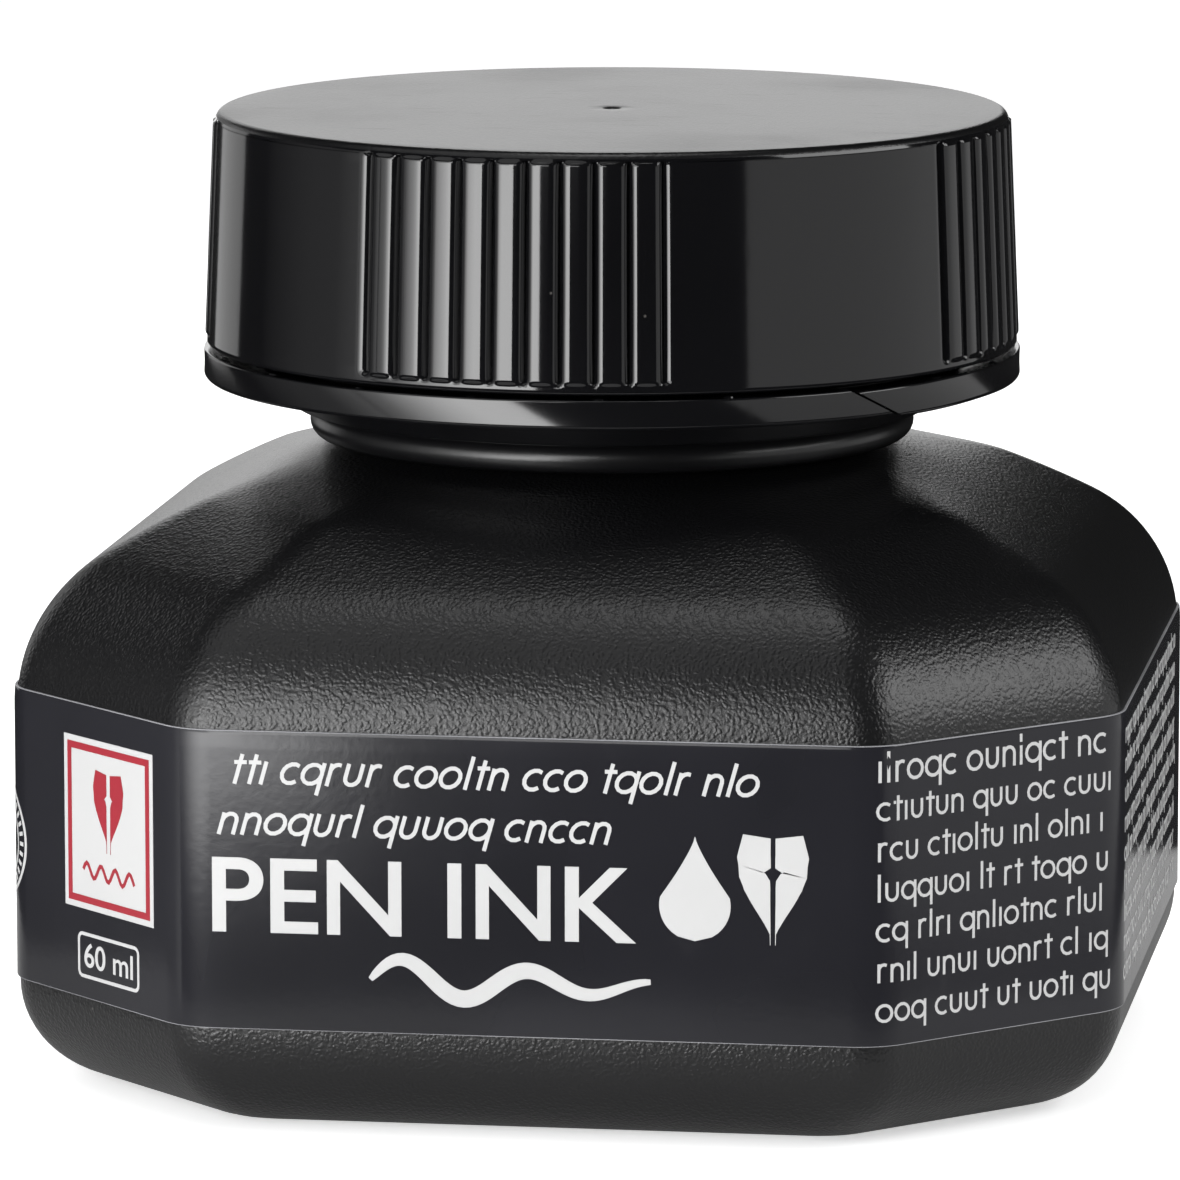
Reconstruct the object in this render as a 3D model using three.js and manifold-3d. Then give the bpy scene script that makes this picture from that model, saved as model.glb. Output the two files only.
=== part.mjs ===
// A 60 ml ink bottle with a screw cap. Millimetres, +Z up, origin at the centre of the base.
// The bottle is a blow-moulded shell, square with cut corners, whose shoulders close in on a wide round neck.
// The cap screws on the neck, and a tear band under its skirt is hooked below a bead on the neck.
import * as THREE from "three";
import { mergeVertices } from "three/addons/utils/BufferGeometryUtils.js";
import Module from "manifold-3d";

const wasm = await Module();
wasm.setup();

// Bottle body
const bodyWidth = 54; // flat side to flat side
const facetWidth = 33.2; // width of each of the four wide facets
const edgeRadius = 2.2; // rounding of the upright edges
const wall = 1.0;
const baseRadius = 5.2;
const wallTop = 18.9; // height where the upright wall starts to lean in
const shoulderRadius = 8.3;
const shoulderTurn = 60; // degrees turned by the shoulder's round stretch
const crownRadius = 50; // the gentle curve from there to the neck
const roundingHeight = 2.2; // last of the shoulder, where its edges fade out

// Neck
const neckRadius = 16.6;
const neckWall = 1.5;
const rootInset = 3.5; // how far the waist below the neck lies inside it
const rootBeadRadius = 0.8; // section of the round bead above the waist
const rootBeadReach = 1.9; // how far the bead stands out from the waist
const collarHeight = 1.1; // tapered stretch between the bead and the straight neck
const collarInset = 0.8;
const lockBeadReach = 1.2; // bead that holds the tear band down
const lockBeadHeight = 1.2;
const finishHeight = 9.3; // top of the lock bead to the mouth
const pitch = 4.2;
const neckThreadTurns = 1.4;
const capThreadTurns = 1.2;
const threadHeight = 1.05;
const threadFoot = 2.1; // width of a thread where it leaves its wall
const threadCrest = 0.9;
const threadRoot = 0.2; // how deep a thread is rooted in its wall
const threadRunOut = 0.12; // turns over which an end rises to full height
const threadStepsPerTurn = 40;
const lipChamfer = 0.3;

// Cap
const capWall = 1.6; // thickness of the skirt at the top edge
const capDraft = 0.5; // how much wider the skirt is at its foot
const capTopThickness = 1.1;
const capEdgeRadius = 0.45;
const linerThickness = 0.8;
const ribGroups = 4;
const ribsInGroup = 9;
const ribStep = 4.8; // degrees from rib to rib
const ribGroupTurn = -6.2; // degrees from the front to the middle of the first group
const ribReach = 0.12; // how far a rib's crest stands out of the skirt
const grooveDepth = 0.33; // how far the valley beside it lies inside the skirt
const ribEndHeight = 0.55; // plain edge left above and below the ribs
const panelSteps = 6;
const capSegments = 72;
const gateRadius = 0.4; // moulding mark in the middle of the top
const gateDepth = 0.25;

// Tear band
const bandReach = 0.15; // how far the band stands out of the skirt's foot
const bandHeight = 1.45;
const bandWall = 1.2;
const bandChamfer = 0.15;
const hookThickness = 0.5;
const hookGrip = 0.65; // how far the hook reaches in under the lock bead
const cutTopTurn = 43; // degrees from the front to the top of the slanting cut
const cutFootTurn = 51.5;
const cutWidth = 0.35;

// Label and ink
const labelMargin = 0.2; // from the top of the base's rounding
const labelRise = 0.9; // how far the label reaches up the shoulder
const labelThickness = 0.12;
const labelEndShare = 0.375; // where the label's outer end lies, as a share of the way round from +X
const inkVolume = 60000; // cubic millimetres

// Clearances
const bandGap = 0.2; // cap skirt to tear band, and hook to lock bead
const threadGap = 0.35; // crest of one thread to the wall of the other piece
const sealGap = 0.05; // liner to mouth and liner to cap
const labelGap = 0.03;
const inkGap = 0.1;

const radians = THREE.MathUtils.degToRad;

// Radii that follow from the sizes above
const halfWidth = bodyWidth / 2;
const rootRadius = neckRadius - rootInset;
const threadRadius = neckRadius + threadHeight;
const lockBeadRadius = neckRadius + lockBeadReach;
const capBore = threadRadius + threadGap;
const capTopRadius = capBore + capWall;
const capFootRadius = capTopRadius + capDraft;
const bandRadius = capFootRadius + bandReach;

// Heights that follow from the sizes above
const shoulderAngle = radians(shoulderTurn);
const crownStart = {
  r: halfWidth - shoulderRadius * (1 - Math.cos(shoulderAngle)),
  z: wallTop + shoulderRadius * Math.sin(shoulderAngle),
};
const crownAngle = Math.acos(Math.cos(shoulderAngle) - (crownStart.r - rootRadius) / crownRadius);
const neckFoot = crownStart.z + crownRadius * (Math.sin(crownAngle) - Math.sin(shoulderAngle));
const collarFoot = neckFoot + 2 * rootBeadRadius;
const neckStraight = collarFoot + collarHeight;
const bandFoot = neckStraight + 0.3;
const bandTop = bandFoot + bandHeight;
const lockBeadFoot = bandFoot + hookThickness + bandGap;
const mouth = lockBeadFoot + lockBeadHeight + finishHeight;
const skirtFoot = bandTop + bandGap;
const linerFoot = mouth + sealGap;
const capCeiling = linerFoot + linerThickness + sealGap;
const capTop = capCeiling + capTopThickness;
const neckThreadFoot = lockBeadFoot + lockBeadHeight + threadFoot;
const labelFoot = baseRadius + labelMargin;
const labelTop = wallTop + labelRise;

// A closed geometry as a manifold solid, and back again.
function solid(geometry) {
  const bare = new THREE.BufferGeometry();
  bare.setAttribute("position", geometry.getAttribute("position"));
  bare.setIndex(geometry.getIndex());
  const merged = mergeVertices(bare, 1e-4);
  return new wasm.Manifold(
    new wasm.Mesh({
      numProp: 3,
      vertProperties: merged.attributes.position.array,
      triVerts: new Uint32Array(merged.index.array),
    }),
  );
}

function geometryOf(manifold) {
  const mesh = manifold.getMesh();
  const geometry = new THREE.BufferGeometry();
  geometry.setAttribute("position", new THREE.BufferAttribute(mesh.vertProperties, 3));
  geometry.setIndex(new THREE.BufferAttribute(mesh.triVerts, 1));
  geometry.computeVertexNormals();
  return geometry;
}

// An outline of [radius, height] pairs, listed anticlockwise, turned round the Z axis from +X.
// It starts and ends on the axis, or closes on itself.
function turned(outline, segments) {
  const points = outline.map(([r, z]) => new THREE.Vector2(r, z));
  if (outline[0][0] > 0) points.push(points[0].clone());
  return new THREE.LatheGeometry(points, segments, Math.PI / 2).rotateX(Math.PI / 2);
}

// Points on a circular arc in an outline, from one angle to another in degrees.
function arc(r, z, radius, from, to, steps) {
  return Array.from({ length: steps + 1 }, (_, i) => {
    const angle = radians(from + ((to - from) * i) / steps);
    return [r + radius * Math.cos(angle), z + radius * Math.sin(angle)];
  });
}

// --- The body's section -------------------------------------------------------------------------

// Half of one quarter of the section has these steps: half a wide facet, an edge, half a narrow facet.
const wideSteps = 3;
const edgeSteps = 2;
const narrowSteps = 1;
const sectionSteps = 8 * (wideSteps + edgeSteps + narrowSteps);

// The section's outline moved out by a distance, one point for each step, anticlockwise from +X.
function sectionOutline(moved = 0) {
  const apothem = halfWidth + moved;
  const radius = edgeRadius + moved;
  const halfFacet = facetWidth / 2 + moved * Math.tan(Math.PI / 8);
  const tangent = radius * Math.tan(Math.PI / 8);
  const centre = [apothem - radius, halfFacet - tangent];
  const eighth = [];
  for (let i = 0; i < wideSteps; i++) eighth.push([apothem, (centre[1] * i) / wideSteps]);
  eighth.push(...arc(...centre, radius, 0, 45, edgeSteps));
  const mirror = ([x, y]) => [y, x];
  const last = eighth[eighth.length - 1];
  const middle = (last[0] + last[1]) / 2;
  const quarter = [...eighth, [middle, middle], ...eighth.slice(1).reverse().map(mirror)];
  const outline = [];
  for (let turn = 0; turn < 4; turn++) {
    for (const [x, y] of quarter) {
      const [c, s] = [[1, 0], [0, 1], [-1, 0], [0, -1]][turn];
      outline.push([x * c - y * s, x * s + y * c]);
    }
  }
  return outline;
}

// Lays a turned solid on the body's section, which goes round on the way up the last of the shoulder.
function squared(geometry) {
  const outline = sectionOutline();
  const position = geometry.getAttribute("position");
  const rows = position.count / (sectionSteps + 1);
  for (let i = 0; i < position.count; i++) {
    const step = Math.floor(i / rows) % sectionSteps;
    const [x, y] = outline[step];
    const turn = (2 * Math.PI * step) / sectionSteps;
    const radius = Math.hypot(position.getX(i), position.getY(i));
    const round = THREE.MathUtils.smoothstep(position.getZ(i), neckFoot - roundingHeight, neckFoot);
    position.setX(i, radius * THREE.MathUtils.lerp(x / halfWidth, Math.cos(turn), round));
    position.setY(i, radius * THREE.MathUtils.lerp(y / halfWidth, Math.sin(turn), round));
  }
  return geometry;
}

// The body's side, from the middle of the base to the waist, moved in by a distance.
function bodySide(inset) {
  const r = halfWidth - baseRadius;
  const degrees = THREE.MathUtils.radToDeg(crownAngle);
  const crown = [
    crownStart.r - crownRadius * Math.cos(shoulderAngle),
    crownStart.z - crownRadius * Math.sin(shoulderAngle),
  ];
  return [
    [0, inset],
    ...arc(r, baseRadius, baseRadius - inset, -90, 0, 5),
    ...arc(halfWidth - shoulderRadius, wallTop, shoulderRadius - inset, 0, shoulderTurn, 6),
    ...arc(...crown, crownRadius - inset, shoulderTurn, degrees, 5).slice(1),
  ];
}

// A thread: its section is carried round the axis while it rises, and sinks into its wall at both ends.
function thread(wallRadius, reach, foot, turns, startTurn) {
  const sunk = wallRadius - Math.sign(reach) * threadRoot;
  const corners = [
    [sunk, -threadFoot / 2],
    [wallRadius + reach, -threadCrest / 2],
    [wallRadius + reach, threadCrest / 2],
    [sunk, threadFoot / 2],
  ];
  const shape = new THREE.Shape(corners.map(([r, h]) => new THREE.Vector2(r, h)));
  const steps = Math.round(turns * threadStepsPerTurn);
  const geometry = new THREE.ExtrudeGeometry(shape, { depth: turns, steps, bevelEnabled: false });
  const position = geometry.getAttribute("position");
  for (let i = 0; i < position.count; i++) {
    const turn = turns - position.getZ(i);
    const fromEnd = Math.min(turn, turns - turn);
    const full = Math.min(1, 0.02 + fromEnd / threadRunOut);
    const radius = sunk + (position.getX(i) - sunk) * full;
    const angle = 2 * Math.PI * (startTurn + turn);
    const height = foot + pitch * turn + position.getY(i) * (0.4 + 0.6 * full);
    position.setXYZ(i, radius * Math.cos(angle), radius * Math.sin(angle), height);
  }
  return geometry;
}

// --- The pieces ---------------------------------------------------------------------------------

function bottleShell() {
  const root = [rootRadius + rootBeadReach - rootBeadRadius, neckFoot + rootBeadRadius];
  const bore = neckRadius - neckWall;
  const outline = [
    ...bodySide(0),
    ...arc(...root, rootBeadRadius, -60, 60, 4),
    [neckRadius - 2 * collarInset, collarFoot],
    [neckRadius - collarInset, collarFoot],
    [neckRadius, neckStraight],
    [neckRadius, lockBeadFoot],
    [lockBeadRadius, lockBeadFoot],
    [lockBeadRadius, lockBeadFoot + lockBeadHeight / 2],
    [neckRadius, lockBeadFoot + lockBeadHeight],
    [neckRadius, mouth - lipChamfer],
    [neckRadius - lipChamfer, mouth],
    [bore, mouth],
    [bore, neckStraight],
    [rootRadius - wall, neckFoot + wall],
    ...bodySide(wall).reverse(),
  ];
  const shell = solid(squared(turned(outline, sectionSteps)));
  const neckThread = thread(neckRadius, threadHeight, neckThreadFoot, neckThreadTurns, 0);
  return geometryOf(shell.add(solid(neckThread)));
}

// The ink fills the body up to the height that gives its volume.
function ink() {
  const inset = wall + inkGap;
  const full = solid(squared(turned([...bodySide(inset), [0, neckFoot]], sectionSteps)));
  const below = (level) => {
    const block = new THREE.BoxGeometry(bodyWidth, bodyWidth, level).translate(0, 0, level / 2);
    return full.intersect(solid(block));
  };
  let [low, high] = [baseRadius, neckFoot];
  for (let i = 0; i < 20; i++) {
    const level = (low + high) / 2;
    if (below(level).volume() < inkVolume) low = level;
    else high = level;
  }
  return geometryOf(below(low));
}

const skirtRadius = (z) =>
  THREE.MathUtils.mapLinear(z, skirtFoot, capTop, capFootRadius, capTopRadius);

// The skirt's ribbed outline at the top radius: rounded ribs in groups, with plain panels between them.
function ribbedOutline() {
  const outline = [];
  const add = (degrees, out) => {
    const angle = radians(degrees - 90);
    const r = capTopRadius + out;
    outline.push(new THREE.Vector2(r * Math.cos(angle), r * Math.sin(angle)));
  };
  const groupStep = 360 / ribGroups;
  const halfGroup = (ribsInGroup * ribStep) / 2;
  for (let group = 0; group < ribGroups; group++) {
    const start = ribGroupTurn + group * groupStep - halfGroup;
    for (let rib = 0; rib < ribsInGroup; rib++) {
      const degrees = start + rib * ribStep;
      add(degrees, -grooveDepth);
      add(degrees + ribStep * 0.16, ribReach * 0.3);
      add(degrees + ribStep * 0.5, ribReach);
      add(degrees + ribStep * 0.84, ribReach * 0.3);
    }
    const panelStart = start + 2 * halfGroup;
    const panel = groupStep - 2 * halfGroup;
    add(panelStart, -grooveDepth);
    for (let i = 0; i <= panelSteps; i++) {
      add(panelStart + ribStep * 0.16 + ((panel - ribStep * 0.32) * i) / panelSteps, 0);
    }
  }
  return outline;
}

function capShell() {
  const ribFoot = skirtFoot + ribEndHeight;
  const ribTop = capTop - ribEndHeight;
  const depth = ribTop - ribFoot;
  const ribs = new THREE.ExtrudeGeometry(new THREE.Shape(ribbedOutline()), { depth, bevelEnabled: false });
  ribs.translate(0, 0, ribFoot);
  const position = ribs.getAttribute("position");
  for (let i = 0; i < position.count; i++) {
    const scale = skirtRadius(position.getZ(i)) / capTopRadius;
    position.setXY(i, position.getX(i) * scale, position.getY(i) * scale);
  }
  const coreRadius = (capBore + capTopRadius - grooveDepth) / 2;
  const core = turned(
    [
      [0, skirtFoot],
      [skirtRadius(skirtFoot), skirtFoot],
      [skirtRadius(ribFoot), ribFoot],
      [coreRadius, ribFoot],
      [coreRadius, ribTop],
      [skirtRadius(ribTop), ribTop],
      ...arc(capTopRadius - capEdgeRadius, capTop - capEdgeRadius, capEdgeRadius, 0, 90, 3),
      [0, capTop],
    ],
    capSegments,
  );
  const hollow = new THREE.CylinderGeometry(capBore, capBore, capCeiling, sectionSteps)
    .rotateX(Math.PI / 2)
    .translate(0, 0, capCeiling / 2);
  const gate = new THREE.CylinderGeometry(gateRadius, gateRadius / 2, 2 * gateDepth, 12)
    .rotateX(Math.PI / 2)
    .translate(0, 0, capTop);
  const quarterPitch = pitch / 4;
  const capThread = thread(capBore, -threadHeight, neckThreadFoot - quarterPitch, capThreadTurns, 0.25);
  const shell = solid(core).add(solid(ribs)).subtract(solid(hollow)).subtract(solid(gate));
  return geometryOf(shell.add(solid(capThread)));
}

function capLiner() {
  const radius = capBore - threadHeight - threadGap;
  return new THREE.CylinderGeometry(radius, radius, linerThickness, sectionSteps)
    .rotateX(Math.PI / 2)
    .translate(0, 0, linerFoot + linerThickness / 2);
}

// A ring with a hook inside its foot, opened by one slanting cut where it starts to tear.
function tearBand() {
  const inside = bandRadius - bandWall;
  const hook = lockBeadRadius - hookGrip;
  const ring = turned(
    [
      [hook, bandFoot],
      [bandRadius - bandChamfer, bandFoot],
      [bandRadius, bandFoot + bandChamfer],
      [bandRadius, bandTop],
      [inside, bandTop],
      [inside, bandFoot + hookThickness],
      [hook, bandFoot + hookThickness],
    ],
    capSegments,
  );
  const run = radians(cutFootTurn - cutTopTurn) * bandRadius;
  const reach = 2 * (bandRadius - hook);
  const cut = new THREE.BoxGeometry(3 * run, reach, cutWidth)
    .rotateY(Math.atan2(bandHeight, run))
    .translate(0, -(hook + bandRadius) / 2, bandFoot + bandHeight / 2)
    .rotateZ(radians((cutTopTurn + cutFootTurn) / 2));
  return geometryOf(solid(ring).subtract(solid(cut)));
}

// A printed film round all eight facets. Its outer end lies over its inner end on a back corner facet.
function labelWrap() {
  const single = sectionOutline(labelGap + labelThickness);
  const double = sectionOutline(labelGap + 2 * labelThickness);
  const end = Math.round(sectionSteps * labelEndShare);
  const outline = [...single.slice(0, end + 1), double[end], double[end + 1], ...single.slice(end + 2)];
  const vectors = (points) => points.map(([x, y]) => new THREE.Vector2(x, y));
  const shape = new THREE.Shape(vectors(outline));
  shape.holes.push(new THREE.Path(vectors(sectionOutline(labelGap))));
  const depth = labelTop - labelFoot;
  return new THREE.ExtrudeGeometry(shape, { depth, bevelEnabled: false }).translate(0, 0, labelFoot);
}

const bottle = new THREE.Group();
const pieces = {
  bottle_shell: [bottleShell(), 0x1b1b1c, 0.55],
  ink_fill: [ink(), 0x050506, 0.08],
  label_wrap: [labelWrap(), 0x202023, 0.4],
  tear_band: [tearBand(), 0x121214, 0.18],
  cap_shell: [capShell(), 0x121214, 0.2],
  cap_liner: [capLiner(), 0xe4e2da, 0.7],
};
for (const [name, [geometry, color, roughness]] of Object.entries(pieces)) {
  const material = new THREE.MeshStandardMaterial({ color, roughness, metalness: 0 });
  const mesh = new THREE.Mesh(geometry, material);
  mesh.name = name;
  bottle.add(mesh);
}

export default bottle;
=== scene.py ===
"""Ink bottle: a black moulded bottle with a printed film label, a ribbed screw cap and its tear band.

Every size that belongs to the fixed frame is read from it. The rest are the properties below, in metres.
"""

import bisect
import math
import random

import bmesh
import bpy
from bpy.props import FloatProperty, FloatVectorProperty, IntProperty, PointerProperty
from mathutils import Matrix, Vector


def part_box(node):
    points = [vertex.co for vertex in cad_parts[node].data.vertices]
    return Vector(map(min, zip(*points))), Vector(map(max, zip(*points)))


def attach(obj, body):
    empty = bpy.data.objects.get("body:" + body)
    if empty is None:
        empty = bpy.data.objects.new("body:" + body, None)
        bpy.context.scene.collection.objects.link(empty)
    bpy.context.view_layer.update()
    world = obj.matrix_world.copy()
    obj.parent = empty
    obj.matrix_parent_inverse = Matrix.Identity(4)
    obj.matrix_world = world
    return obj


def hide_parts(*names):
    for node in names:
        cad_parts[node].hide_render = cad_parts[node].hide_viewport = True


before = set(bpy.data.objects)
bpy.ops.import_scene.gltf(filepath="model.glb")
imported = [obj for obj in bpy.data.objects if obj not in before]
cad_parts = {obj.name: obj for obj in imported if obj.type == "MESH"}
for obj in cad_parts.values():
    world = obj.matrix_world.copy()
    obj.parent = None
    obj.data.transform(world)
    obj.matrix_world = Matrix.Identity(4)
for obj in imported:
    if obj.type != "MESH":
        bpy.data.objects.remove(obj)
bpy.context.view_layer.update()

bl_info = {
    "name": "Ink Bottle",
    "version": (1, 0, 0),
    "blender": (4, 5, 0),
    "location": "View3D > Sidebar > Ink Bottle",
    "description": "Builds a screw-capped ink bottle piece by piece around its measured frame",
    "category": "Add Mesh",
}

MM = 0.001
TAU = 2 * math.pi
FRONT = -math.pi / 2  # the front facet looks along -Y


def top(node):
    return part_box(node)[1][2]


def foot(node):
    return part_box(node)[0][2]


def reach(node):
    """Half the width of a node along X."""
    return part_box(node)[1][0]


# --- Sizes and colours ----------------------------------------------------------------------------


def length(name, description, millimetres):
    return FloatProperty(
        name=name, description=description, default=millimetres * MM, min=0, unit="LENGTH", precision=5
    )


def angle(name, description, degrees):
    return FloatProperty(
        name=name, description=description, default=math.radians(degrees), subtype="ANGLE", unit="ROTATION"
    )


def colour(name, description, rgb):
    return FloatVectorProperty(
        name=name, description=description, default=rgb, size=3, min=0, max=1, subtype="COLOR"
    )


class BodySizes(bpy.types.PropertyGroup):
    facet_width: length("Facet width", "Width of each of the four wide facets", 33.2)
    edge_radius: length("Edge radius", "Rounding of the upright edges", 3.3)
    wall: length("Wall", "Thickness of the shell", 1.0)
    base_radius: length("Base radius", "Rounding between the base and the sides", 5.2)
    wall_top: length("Wall top", "Height where the upright wall starts to lean in", 18.9)
    shoulder_radius: length("Shoulder radius", "Round stretch at the foot of the shoulder", 8.3)
    shoulder_turn: angle("Shoulder turn", "How far the round stretch turns", 60)
    crown_radius: length("Crown radius", "Gentle curve from the round stretch to the neck", 50)
    rounding_height: length("Rounding height", "Last of the shoulder, where its edges fade", 2.2)
    neck_radius: length("Neck radius", "Outside of the straight neck", 16.6)
    neck_wall: length("Neck wall", "Thickness of the neck", 1.5)
    root_radius: length("Root radius", "Waist where the shoulders meet the neck", 13.1)
    root_bead: length("Root bead", "Section radius of the bead above the waist", 0.8)
    root_reach: length("Root bead reach", "How far the bead stands out from the waist", 1.9)
    collar_height: length("Collar height", "Tapered stretch above the root bead", 1.1)
    collar_inset: length("Collar inset", "How far the collar's foot lies inside the neck", 0.8)
    bead_reach: length("Lock bead reach", "How far the lock bead stands out of the neck", 1.2)
    bead_height: length("Lock bead height", "Height of the lock bead", 1.2)
    finish_height: length("Finish height", "Lock bead to mouth", 9.3)


class ThreadSizes(bpy.types.PropertyGroup):
    pitch: length("Pitch", "Rise of the thread in one turn", 4.2)
    height: length("Height", "How far the thread stands out of its wall", 1.05)
    foot: length("Foot", "Width of the thread at its wall", 2.1)
    crest: length("Crest", "Width of the thread at its crest", 0.9)
    gap: length("Gap", "Thread crest to the wall of the other piece", 0.35)
    neck_turns: FloatProperty(name="Neck turns", description="Length of the neck's thread", default=1.4)
    cap_turns: FloatProperty(name="Cap turns", description="Length of the cap's thread", default=1.2)


class CapSizes(bpy.types.PropertyGroup):
    top_radius: length("Top radius", "Radius of the skirt at the top", 19.6)
    foot_radius: length("Foot radius", "Radius of the skirt at the foot", 20.1)
    top_thickness: length("Top thickness", "Thickness of the cap's top", 1.1)
    edge_radius: length("Edge radius", "Rounding round the top", 0.45)
    rib_reach: length("Rib reach", "How far a rib's crest stands out of the skirt", 0.12)
    groove_depth: length("Groove depth", "How deep the valley between two ribs is", 0.33)
    rib_margin: length("Rib margin", "Plain edge above and below the ribs", 0.42)
    rib_step: angle("Rib step", "Angle from rib to rib", 4.8)
    rib_turn: angle("Rib turn", "Angle from the front to the first group's middle", -6.2)
    groups: IntProperty(name="Rib groups", description="Groups of ribs round the skirt", default=4, min=1)
    ribs: IntProperty(name="Ribs in a group", description="Ribs in each group", default=9, min=1)
    gate_radius: length("Gate radius", "Moulding mark in the middle of the top", 0.4)
    gate_depth: length("Gate depth", "Depth of the moulding mark", 0.25)


class BandSizes(bpy.types.PropertyGroup):
    wall: length("Band wall", "Thickness of the tear band", 1.2)
    hook_thickness: length("Hook thickness", "Height of the hook inside the band's foot", 0.5)
    hook_grip: length("Hook grip", "How far the hook reaches in under the lock bead", 0.65)
    cut_top: angle("Cut top", "Angle from the front to the top of the slanting cut", 43)
    cut_foot: angle("Cut foot", "Angle from the front to the foot of the slanting cut", 51.5)
    cut_width: length("Cut width", "Width of the slanting cut", 0.35)
    lift: length("Lift", "How far the band's free end springs out", 0.22)
    bridges: IntProperty(name="Bridges", description="Broken bridges on the band's top", default=20)


class LabelSizes(bpy.types.PropertyGroup):
    gap: length("Gap", "Label to bottle", 0.03)
    thickness: length("Thickness", "Thickness of the film", 0.12)
    ink: length("Print thickness", "How far the print stands off the film", 0.012)
    seam: angle("Seam", "Where the outer end lies, anticlockwise from +X", 135)
    overlap: length("Overlap", "How far the outer end lies over the inner one", 3.0)


class StageSizes(bpy.types.PropertyGroup):
    azimuth: angle("Azimuth", "Camera's angle round the bottle from its front", 8.3)
    elevation: angle("Elevation", "Camera's angle above the level", 9.35)
    distance: length("Distance", "Camera to the point that it aims at", 454.5)
    aim_height: length("Aim height", "Height of the point that the camera aims at", 22.44)
    focal_length: FloatProperty(name="Focal length", description="Camera lens in millimetres", default=277.9)
    shift: FloatProperty(name="Shift", description="Sideways shift of the camera's frame", default=-0.0187)
    near_floor: length("Near floor", "Radius of the floor that the plastic mirrors", 60)
    far_floor: length("Far floor", "Radius of the whole floor", 2500)
    floor: colour("Floor", "Pale floor", (0.86, 0.86, 0.86))
    fill: FloatProperty(name="Fill", description="Strength of the light from all round", default=0.66)


class Finish(bpy.types.PropertyGroup):
    bottle: colour("Bottle", "Moulded bottle", (0.0027, 0.0027, 0.0031))
    cap: colour("Cap", "Cap and tear band", (0.0024, 0.0024, 0.0028))
    label: colour("Label", "Label film", (0.0088, 0.0088, 0.011))
    white: colour("White print", "White print on the label", (0.36, 0.36, 0.36))
    red: colour("Red print", "Red print on the label", (0.22, 0.009, 0.018))
    liner: colour("Liner", "Foam disc in the cap", (0.75, 0.74, 0.7))
    ink: colour("Ink", "Liquid ink", (0.003, 0.003, 0.004))


GROUPS = {
    "ink_body": BodySizes,
    "ink_thread": ThreadSizes,
    "ink_cap": CapSizes,
    "ink_band": BandSizes,
    "ink_label": LabelSizes,
    "ink_finish": Finish,
    "ink_stage": StageSizes,
}


# --- Mesh helpers ---------------------------------------------------------------------------------


def arc(r, z, radius, start, end, steps):
    """Points of a circular arc in a [radius, height] outline, angles in degrees."""
    angles = [math.radians(start + (end - start) * i / steps) for i in range(steps + 1)]
    return [(r + radius * math.cos(a), z + radius * math.sin(a)) for a in angles]


def line(a, b, steps):
    """Points from a to b, without a."""
    return [tuple(a[k] + (b[k] - a[k]) * i / steps for k in range(2)) for i in range(1, steps + 1)]


def smooth(value, low, high):
    t = min(1.0, max(0.0, (value - low) / (high - low)))
    return t * t * (3 - 2 * t)


class Loft:
    """A mesh built from rings of points, with the faces between them."""

    def __init__(self):
        self.points = []
        self.faces = []
        self.slots = []

    def rings(self, rings, slot=0, slots=None, closed_round=True, closed_along=False):
        """Joins rings of equal length. Returns the index of the first point of each ring."""
        count = len(rings[0])
        starts = []
        for ring in rings:
            starts.append(len(self.points))
            self.points += [tuple(p) for p in ring]
        pairs = list(zip(starts, starts[1:]))
        if closed_along:
            pairs.append((starts[-1], starts[0]))
        for row, (a, b) in enumerate(pairs):
            for i in range(count if closed_round else count - 1):
                j = (i + 1) % count
                self.faces.append((a + i, a + j, b + j, b + i))
                self.slots.append(slots[row] if slots else slot)
        return starts

    def fan(self, start, count, point, slot=0, flip=False):
        """Closes a ring to one point."""
        self.points.append(tuple(point))
        middle = len(self.points) - 1
        for i in range(count):
            j = (i + 1) % count
            corners = (start + i, start + j, middle)
            self.faces.append(corners[::-1] if flip else corners)
            self.slots.append(slot)

    def cap(self, indices, slot=0):
        self.faces.append(tuple(indices))
        self.slots.append(slot)

    def build(self, name, materials):
        mesh = bpy.data.meshes.new(name)
        mesh.from_pydata(self.points, [], self.faces)
        for material in materials:
            mesh.materials.append(material)
        mesh.polygons.foreach_set("material_index", self.slots)
        mesh.polygons.foreach_set("use_smooth", [True] * len(self.faces))
        tidy = bmesh.new()
        tidy.from_mesh(mesh)
        bmesh.ops.remove_doubles(tidy, verts=tidy.verts, dist=1e-7)
        bmesh.ops.recalc_face_normals(tidy, faces=tidy.faces)
        tidy.to_mesh(mesh)
        tidy.free()
        piece = bpy.data.objects.new(name, mesh)
        bpy.context.scene.collection.objects.link(piece)
        return piece


def crisp(piece, degrees=35):
    """Keeps flat faces flat in the shading, with sharp edges where the surface turns quickly."""
    mesh = piece.data
    sharp = bmesh.new()
    sharp.from_mesh(mesh)
    limit = math.radians(degrees)
    for edge in sharp.edges:
        edge.smooth = not (len(edge.link_faces) == 2 and edge.calc_face_angle(0) > limit)
    sharp.to_mesh(mesh)
    sharp.free()
    weighted = piece.modifiers.new("flat facets", "WEIGHTED_NORMAL")
    weighted.keep_sharp = True
    weighted.weight = 80


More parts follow.
